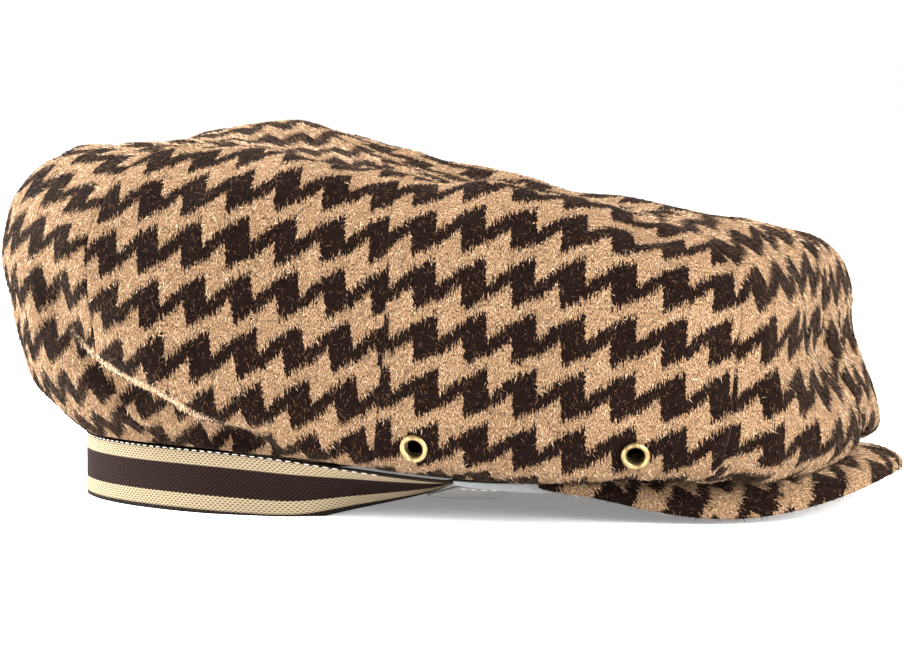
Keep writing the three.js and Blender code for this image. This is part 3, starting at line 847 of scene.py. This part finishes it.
CAMEL_SHARES = (0.35, 0.33, 0.32)
BROWN_SHARES = (0.77, 0.23)
PAINTED_LIGHT_SHARE = 0.8  # of the hairs painted pale or dark, where a lip's painted highlight and shade are full
LIP_HIGHLIGHT_HAIR = list(HAIR_COLOURS).index("pale_camel_hair")
CREASE_SHADE_HAIR = list(HAIR_COLOURS).index("brown_hair")
hair_source = np.random.default_rng(HAIR_SEED)
swirl_lines = hair_source.normal(0, SWIRL_TIGHTNESS, (SWIRLS, 2))
swirl_starts = hair_source.uniform(0, math.tau, SWIRLS)

hair_materials = []
for name, colour in HAIR_COLOURS.items():
    material, tree, shader = new_material(name)
    set_inputs(tree, shader, {"Base Color": linear(*colour), "Roughness": 0.8, "Specular IOR Level": 0.03})
    hair_materials.append(material)


def dark_at(cloth_map):
    """Whether the houndstooth is dark at places on the cloth."""
    column = cloth_map[:, 0] % 1
    dark_column = column >= 0.5
    place = column - 0.5 * dark_column
    dark_height = cloth_map[:, 1] - DARK_SLOPE * place
    camel_height = cloth_map[:, 1] - CAMEL_SLOPE * place - CAMEL_START
    return np.where(dark_column, camel_height % 1 >= CAMEL_BAND, dark_height % 1 < DARK_BAND)


def nap_mesh(points, outward, cloth_map, bare, painted_light, count):
    """Points, faces and colour numbers of the hairs on a grid of cloth."""
    areas = grid_areas(points)
    cells = hair_source.choice(areas.size, count, p=areas.ravel() / areas.sum())
    row, column = np.unravel_index(cells, areas.shape)
    s, t = hair_source.random((2, count, 1))

    def between(grid):
        low = grid[row, column] * (1 - s) + grid[row, column + 1] * s
        high = grid[row + 1, column] * (1 - s) + grid[row + 1, column + 1] * s
        return low * (1 - t) + high * t

    root, normal, place = between(points), unit(between(outward)), between(cloth_map)
    rooted = (between(bare[..., None])[:, 0] < 0.5) & (eyelet_distance(root) > EYELET_SEAT)
    (across, rise), (map_across, map_rise) = (
        (grid[row, column + 1] - grid[row, column], grid[row + 1, column] - grid[row, column])
        for grid in (points, cloth_map)
    )
    down = across * map_rise[:, :1] - rise * map_across[:, :1]
    falling = map_across[:, 1:] * map_rise[:, :1] - map_rise[:, 1:] * map_across[:, :1]
    down = unit(down * -np.sign(falling) + TINY)
    down = unit(down - normal * (down * normal).sum(-1, keepdims=True))
    aside = np.cross(normal, down)
    swirl = np.sin(place @ swirl_lines.T + swirl_starts).sum(-1, keepdims=True) / 2
    turn = hair_source.normal(0, HAIR_SPREAD, (count, 1)) + HAIR_SWIRL * swirl
    lift = hair_source.uniform(*HAIR_LIFTS, (count, 1))
    length = hair_source.uniform(*HAIR_LENGTHS, (count, 1))
    width = hair_source.uniform(*HAIR_WIDTHS, (count, 1))
    lying = down * np.cos(turn) + aside * np.sin(turn)
    along = lying * np.cos(lift) + normal * np.sin(lift)
    flat = np.cross(normal, lying)
    above = np.cross(along, flat)
    start = root - normal * HAIR_ROOT
    spins = [k * math.tau / 3 for k in range(3)]
    ring = [start + width * (flat * math.cos(spin) + above * math.sin(spin)) for spin in spins]
    tip = root + along * length
    tip[:, 2] = np.maximum(tip[:, 2], HAIR_FLOOR)
    spikes = np.stack([*ring, tip], 1)[rooted]
    shade = hair_source.random(count)
    camel_shade = np.searchsorted(np.cumsum(CAMEL_SHARES)[:-1], shade)
    brown_shade = len(CAMEL_SHARES) + np.searchsorted(np.cumsum(BROWN_SHARES)[:-1], shade)
    jitter = hair_source.normal(0, HAIR_JITTER, (count, 2))
    shades = np.where(dark_at(place + jitter), brown_shade, camel_shade)
    # Painted light on the hairs: pale hairs as a painted highlight along the lips, dark ones as painted
    # shade in the creases.
    hair_painted_light = between(painted_light[..., None])[:, 0] * PAINTED_LIGHT_SHARE
    chance = hair_source.random(count)
    shades = np.where(hair_painted_light > chance, LIP_HIGHLIGHT_HAIR, np.where(-hair_painted_light > chance, CREASE_SHADE_HAIR, shades))
    shades = shades[rooted]
    corners = facing_out(spikes[0], np.array([(0, 1, 2), (0, 3, 1), (1, 3, 2), (2, 3, 0)]))
    faces = (np.arange(len(spikes))[:, None, None] * 4 + corners).reshape(-1, 3)
    return spikes.reshape(-1, 3), faces, np.repeat(shades, 4)


all_area = sum(grid_areas(grids[0]).sum() for grids in brushed.values())
for name, grids in brushed.items():
    count = int(HAIRS * grid_areas(grids[0]).sum() / all_area)
    hair_points, faces, shades = nap_mesh(*grids, count)
    nap = new_piece(name, hair_points, faces, hair_materials, smooth=False)
    nap.data.polygons.foreach_set("material_index", shades.astype(np.int32))
    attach(nap, "root")

# Sweatband
# A striped ribbon woven in one width and sewn into a loop along the crown's edge. At the back it
# hangs straight down, and towards the front it turns in and then up inside the crown.
RIBBON_WIDTH = 0.019
RIBBON_THICKNESS = 0.001
RIBBON_INSET = 0.0034
RIBBON_RISE = 0.0006
RIBBON_GAP = 0.0003
RIBBON_COLUMNS = 720
RIBBON_ROWS = 14
RIBBON_EASE = 8  # columns on each side over which a turn is eased
# How far it is turned in and up, in degrees, at angles from the front.
RIBBON_TURNS = {0: 166, 44: 166, 62: 122, 76: 80, 90: 60, 100: 44, 112: 14, 128: 0, 180: 0}
RIBBON_TUCK = np.radians((40, 105))  # turns over which it moves in under the edge
RIBBON_LIFT = np.radians((100, RIBBON_TURNS[0]))  # and over which it moves up

angle = np.arange(RIBBON_COLUMNS) / RIBBON_COLUMNS * math.tau
turn = np.degrees(np.abs(np.arctan2(np.sin(angle), np.cos(angle))))
tilt = np.radians(np.interp(turn, list(RIBBON_TURNS), list(RIBBON_TURNS.values())))
eased = range(-RIBBON_EASE, RIBBON_EASE + 1)
tilt = sum(np.roll(tilt, step) for step in eased) / len(eased)
inward = inward_at(angle)
under = smooth_step(tilt, *RIBBON_TUCK)
risen = smooth_step(tilt, *RIBBON_LIFT)
inset = CLOTH / 2 + (RIBBON_INSET - CLOTH / 2) * under
hang = RIBBON_GAP + RIBBON_THICKNESS / 2 * np.sin(np.minimum(tilt, math.pi / 2))
sewn = crown_point(angle, 0) + inward * inset[:, None]
sewn[:, 2] -= hang + (-RIBBON_RISE - hang) * risen
run = inward * np.sin(tilt)[:, None] - UP * np.cos(tilt)[:, None]
face = inward * np.cos(tilt)[:, None] + UP * np.sin(tilt)[:, None]
down_ribbon = np.linspace(0, 1, RIBBON_ROWS + 1)[:, None, None]
middle_face = sewn + run * RIBBON_WIDTH * down_ribbon
outside, inside = (middle_face + face * sign * RIBBON_THICKNESS / 2 for sign in (-1, 1))
for side in (outside, inside):
    side[..., 2] = np.maximum(side[..., 2], 0)
round_ribbon = travelled(np.concatenate([sewn, sewn[:1]]))
ribbon_map = np.stack(np.broadcast_arrays(round_ribbon[:-1], down_ribbon[..., 0] * RIBBON_WIDTH), -1)

# Stripes from the upper edge down, and the colours of their threads and of the gaps between.
STRIPES = {0.0: "edge", 0.035: "camel", 0.235: "brown", 0.685: "camel", 0.905: "edge"}
STRIPE_COLOURS = {
    "edge": (linear(34, 28, 24), linear(6, 5, 4)),
    "camel": (linear(144, 129, 104), linear(42, 33, 23)),
    "brown": (linear(34, 24, 22), linear(3, 2, 2)),
}
PICK = 0.0016  # from one crossing of the threads to the next, along the ribbon
ROW = 0.00066  # from one row of crossings to the next
THREAD_RANGE = (0.1, 0.46)  # of the distance from a crossing, from gap to thread
STRIPE_STEP = 0.0006  # how far the stripes' edges step with the crossings, for each pick
ribbon_material, tree, shader = new_material("striped_ribbon")
split = new_node(tree, "SeparateXYZ", {0: cloth_places(tree)})
woven = partial(math_node, tree)
row_place = woven("DIVIDE", split.outputs["Y"], ROW)
odd_row = woven("MODULO", woven("FLOOR", row_place), 2.0)
pick_place = woven("MULTIPLY_ADD", odd_row, 0.5, woven("DIVIDE", split.outputs["X"], PICK))
from_pick, from_row = (woven("SUBTRACT", woven("FRACT", way), 0.5) for way in (pick_place, row_place))
squares = [woven("MULTIPLY", way, way) for way in (from_pick, from_row)]
thread = spread_out(tree, woven("SQRT", woven("ADD", *squares)), *THREAD_RANGE)
step = woven("MULTIPLY", woven("ABSOLUTE", from_pick), STRIPE_STEP)
across_ribbon = woven("DIVIDE", woven("ADD", split.outputs["Y"], step), RIBBON_WIDTH)


def striped(tree, place, which):
    """The stripes' colours at a place across the ribbon: of the threads (0) or of the gaps (1)."""
    ramp = tree.nodes.new("ShaderNodeValToRGB")
    ramp.color_ramp.interpolation = "CONSTANT"
    stops = ramp.color_ramp.elements
    stops.remove(stops[-1])
    for position, stripe in STRIPES.items():
        stop = stops[0] if position == 0 else stops.new(position)
        stop.color = STRIPE_COLOURS[stripe][which]
    tree.links.new(place, ramp.inputs[0])
    return ramp.outputs[0]


threads, gaps = (striped(tree, across_ribbon, which) for which in (0, 1))
set_inputs(tree, shader, {
    "Base Color": mix_colours(tree, thread, gaps, threads),
    "Roughness": 0.7,
    "Specular IOR Level": 0.01,
})
bumped(tree, shader, thread, strength=0.7, distance=0.0002)
sweatband = walled_piece("sweatband_ribbon", outside, inside, ribbon_material, ribbon_map, looped=True)
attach(sweatband, "root")
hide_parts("sweatband")

# Stitches
# White thread sews the ribbon's upper edge to the crown. It shows as a row of short stitches where
# the ribbon hangs outwards.
STITCH_LENGTH = 0.0023
STITCH_PITCH = 0.0029
STITCH_RADIUS = 0.00015
STITCH_DOWN = 0.00015  # below the ribbon's upper edge
STITCH_SIDES = 8
STITCH_RINGS = 7
STITCH_BLUNT = 1.02  # above 1, so that the ends don't close to a point
STITCH_SINK = 1.6  # how far the ends sink in, in radii
STITCH_SHOWS = math.radians(62)  # largest turn of the ribbon at which its stitches show
white_thread, tree, shader = new_material("white_thread")
twist = stretched_noise(tree, object_places(tree), across=4000, along=4000, detail=1)
thread_colour = mix_colours(tree, twist, linear(164, 158, 148), linear(226, 222, 214))
set_inputs(tree, shader, {"Base Color": thread_colour, "Roughness": 0.6})


def stitch_row(name, line, outward):
    """A row of stitches along a line of closely spaced points, lying on what faces outwards."""
    along_line = travelled(line)
    ring = np.linspace(-1, 1, STITCH_RINGS)
    spin = np.arange(STITCH_SIDES) / STITCH_SIDES * math.tau
    starts = np.arange(STITCH_PITCH / 2, along_line[-1] - STITCH_PITCH / 2, STITCH_PITCH)
    places = starts[:, None] + ring * STITCH_LENGTH / 2

    def at_places(values):
        return np.stack([np.interp(places, along_line, values[:, k]) for k in range(3)], -1)

    middle, facing = at_places(line), unit(at_places(outward))
    along = unit(middle[:, -1:] - middle[:, :1])
    aside = np.cross(facing, along)
    thick = STITCH_RADIUS * np.sqrt(STITCH_BLUNT - ring**2)[:, None, None]
    sunk = STITCH_RADIUS * STITCH_SINK * ring[:, None] ** 4
    spoke = facing[:, :, None] * np.cos(spin)[:, None] + aside[:, :, None] * np.sin(spin)[:, None]
    points = (middle - facing * sunk)[:, :, None] + spoke * thick
    stitch = np.arange(STITCH_RINGS * STITCH_SIDES).reshape(STITCH_RINGS, STITCH_SIDES)
    sides = quads_of(np.concatenate([stitch, stitch[:, :1]], axis=1))
    caps = np.concatenate([[[row[0], row[k], row[k + 1], row[k + 2]] for k in range(1, STITCH_SIDES - 2, 2)]
                           for row in (stitch[0, ::-1], stitch[-1])])
    stitch_faces = np.concatenate([sides, caps])
    offsets = np.arange(len(starts))[:, None, None] * stitch.size
    faces = (offsets + facing_out(points[0].reshape(-1, 3), stitch_faces)).reshape(-1, 4)
    row = new_piece(name, points.reshape(-1, 3), faces, [white_thread])
    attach(row, "root")


hanging = np.nonzero(tilt < STITCH_SHOWS)[0]
stitch_line = sewn + run * STITCH_DOWN - face * RIBBON_THICKNESS / 2
stitch_row("ribbon_stitches", stitch_line[hanging], -face[hanging])

# Label
# A plain white satin tab sewn inside the edge with a row of white stitches. It hangs down and
# inwards below the edge, pulled towards the back, from the grey tape that covers the seam there.
LABEL_ANGLES = np.radians((71.5, 57.5))
LABEL_INSET = 0.005
LABEL_DROP = 0.002
LABEL_WIDTH = 0.019
LABEL_LENGTH = 0.0085
LABEL_LEAN = math.radians(66)
LABEL_SKEW = 0.0105
LABEL_THICKNESS = 0.001
LABEL_STITCHED = 0.08  # share of its length from its upper edge to the stitches
LABEL_ROWS = 12
LABEL_COLUMNS = 48
angle = np.linspace(*LABEL_ANGLES, LABEL_COLUMNS + 1)
inward = inward_at(angle)
backward = np.stack([-inward[:, 1], inward[:, 0], np.zeros(len(angle))], -1)
hung = np.linspace(0, 1, LABEL_ROWS + 1)[:, None, None]
upper = crown_point(angle, 0) + inward * LABEL_INSET - UP * LABEL_DROP
run = inward * math.sin(LABEL_LEAN) - UP * math.cos(LABEL_LEAN)
face = inward * math.cos(LABEL_LEAN) + UP * math.sin(LABEL_LEAN)
hem = run * LABEL_LENGTH + backward * LABEL_SKEW
tab = upper + hem * hung
outside, inside = (tab + face * sign * LABEL_THICKNESS / 2 for sign in (-1, 1))
along_label = np.linspace(0, LABEL_WIDTH, LABEL_COLUMNS + 1)
label_map = np.stack(np.broadcast_arrays(along_label, hung[..., 0] * LABEL_LENGTH), -1)


def satin_material(name, shaded, lit):
    material, tree, shader = new_material(name)
    satin = stretched_noise(tree, cloth_places(tree), across=900, along=7000, detail=2)
    set_inputs(tree, shader, {"Base Color": mix_colours(tree, satin, shaded, lit), "Roughness": 0.4})
    bumped(tree, shader, satin, strength=0.2, distance=0.0001)
    return material


# The tab's white satin is coloured a mid grey: painted shade, as it hangs in the shadow inside the edge.
white_satin_in_painted_shade = satin_material("white_satin_in_painted_shade", linear(88, 86, 83), linear(116, 114, 110))
label = walled_piece("label_tab", outside, inside, white_satin_in_painted_shade, label_map)
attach(label, "root")
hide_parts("label")
stitch_line = upper + hem * LABEL_STITCHED - face * LABEL_THICKNESS / 2
stitch_row("label_stitches", stitch_line, -face)

TAPE_ANGLES = np.radians((73, 46))
TAPE_INSET = 0.0024
TAPE_DROPS = (0.0012, 0.0040)  # how far its lower edge hangs below the crown's, rear and front
TAPE_THICKNESS = 0.0004
TAPE_ROWS = 6
TAPE_COLUMNS = 60
angle = np.linspace(*TAPE_ANGLES, TAPE_COLUMNS + 1)
inward = inward_at(angle)
hung = np.linspace(0, 1, TAPE_ROWS + 1)[:, None]
drops = RIBBON_GAP + np.linspace(*TAPE_DROPS, TAPE_COLUMNS + 1) * hung
outside = np.broadcast_to(crown_point(angle, 0) + inward * TAPE_INSET, (*drops.shape, 3)).copy()
outside[..., 2] -= drops
inside = outside + inward * TAPE_THICKNESS
along_tape = np.linspace(0, LABEL_WIDTH, TAPE_COLUMNS + 1)
tape_map = np.stack(np.broadcast_arrays(along_tape, drops), -1)
grey_tape = satin_material("grey_tape", linear(92, 92, 92), linear(136, 136, 136))
tape = walled_piece("label_tape", outside, inside, grey_tape, tape_map)
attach(tape, "root")

# Eyelets
# Four rolled brass eyelets, two on each side, set through the fore side gores as vents. The flange
# is rounded over outside, and the barrel is curled outwards inside to grip the cloth.
EYELET_SIDES = 48
EYELET_PROFILE = (
    (0.0025, 0.0004), (0.0025, -0.0016), (0.0027, -0.0021), (0.0032, -0.0023), (0.0037, -0.0020),
    (0.0038, -0.0017), (0.0029, -0.0017), (0.0029, 0.0003), (0.0040, 0.0003), (0.0041, 0.0006),
    (0.0039, 0.0010), (0.0035, 0.0012), (0.0031, 0.0012), (0.0027, 0.0009),
)
TARNISH = (0.35, 0.65)  # range of the noise from bright to tarnished
BRASS_ROUGHNESS = 0.35  # where it is bright
TARNISH_ROUGHENS = 0.2
brass, tree, shader = new_material("aged_brass")
blotches = stretched_noise(tree, object_places(tree), across=900, along=900, detail=3)
tarnish = spread_out(tree, blotches, *TARNISH)
set_inputs(tree, shader, {
    "Base Color": mix_colours(tree, tarnish, linear(166, 146, 104), linear(118, 98, 64)),
    "Roughness": math_node(tree, "MULTIPLY_ADD", tarnish, TARNISH_ROUGHENS, BRASS_ROUGHNESS),
    "Metallic": 1,
})
profile = np.array(EYELET_PROFILE)
spin = np.arange(EYELET_SIDES) / EYELET_SIDES * math.tau
for name, (centre, outward) in eyelets.items():
    aside = unit(np.cross(outward, UP))
    upward = np.cross(aside, outward)
    spoke = aside * np.cos(spin)[:, None] + upward * np.sin(spin)[:, None]
    points = centre + profile[:, :1, None] * spoke + profile[:, 1:, None] * outward
    ids = np.arange(len(profile) * EYELET_SIDES).reshape(len(profile), EYELET_SIDES)
    ids = np.concatenate([ids, ids[:, :1]], axis=1)
    faces = quads_of(np.concatenate([ids, ids[:1]]))
    points = points.reshape(-1, 3)
    eyelet = new_piece(f"{name}_brass", points, facing_out(points, faces), [brass])
    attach(eyelet, "root")
    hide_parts(name)

# Floor and light
# A white floor and soft white light from all round, with a broad lamp above, one in front of
# the peak and one that grazes the rear.
FLOOR_HALF = 6
LAMP_WIDTH = 0.8
WHITE = (1, 1, 1, 1)
bpy.ops.mesh.primitive_plane_add(size=FLOOR_HALF * 2)
floor = bpy.context.object
floor.name = "floor"
floor_material, tree, shader = new_material("white_floor")
set_inputs(tree, shader, {
    "Base Color": linear(253, 253, 253),
    "Roughness": 0.9,
    "Specular IOR Level": 0.1,
    "Emission Color": WHITE,
    "Emission Strength": 0.25,
})
floor.data.materials.append(floor_material)

world = bpy.data.worlds.new("studio")
bpy.context.scene.world = world
world.use_nodes = True
tree = world.node_tree
set_inputs(tree, tree.nodes["Background"], {"Color": WHITE, "Strength": 1.0})


def lamp(name, place, power):
    light = bpy.data.lights.new(name, "AREA")
    light.size = LAMP_WIDTH
    light.energy = power
    item = placed(name, light)
    item.location = place
    aimed(item, "-Z", aim - Vector(place))


lamp("top", (-0.15, 0.1, 1.9), power=44)
lamp("front", (1.25, -0.75, 0.5), power=68)
lamp("rear", (-1.4, 0.1, 0.7), power=130)
bpy.context.scene.view_settings.view_transform = "Standard"
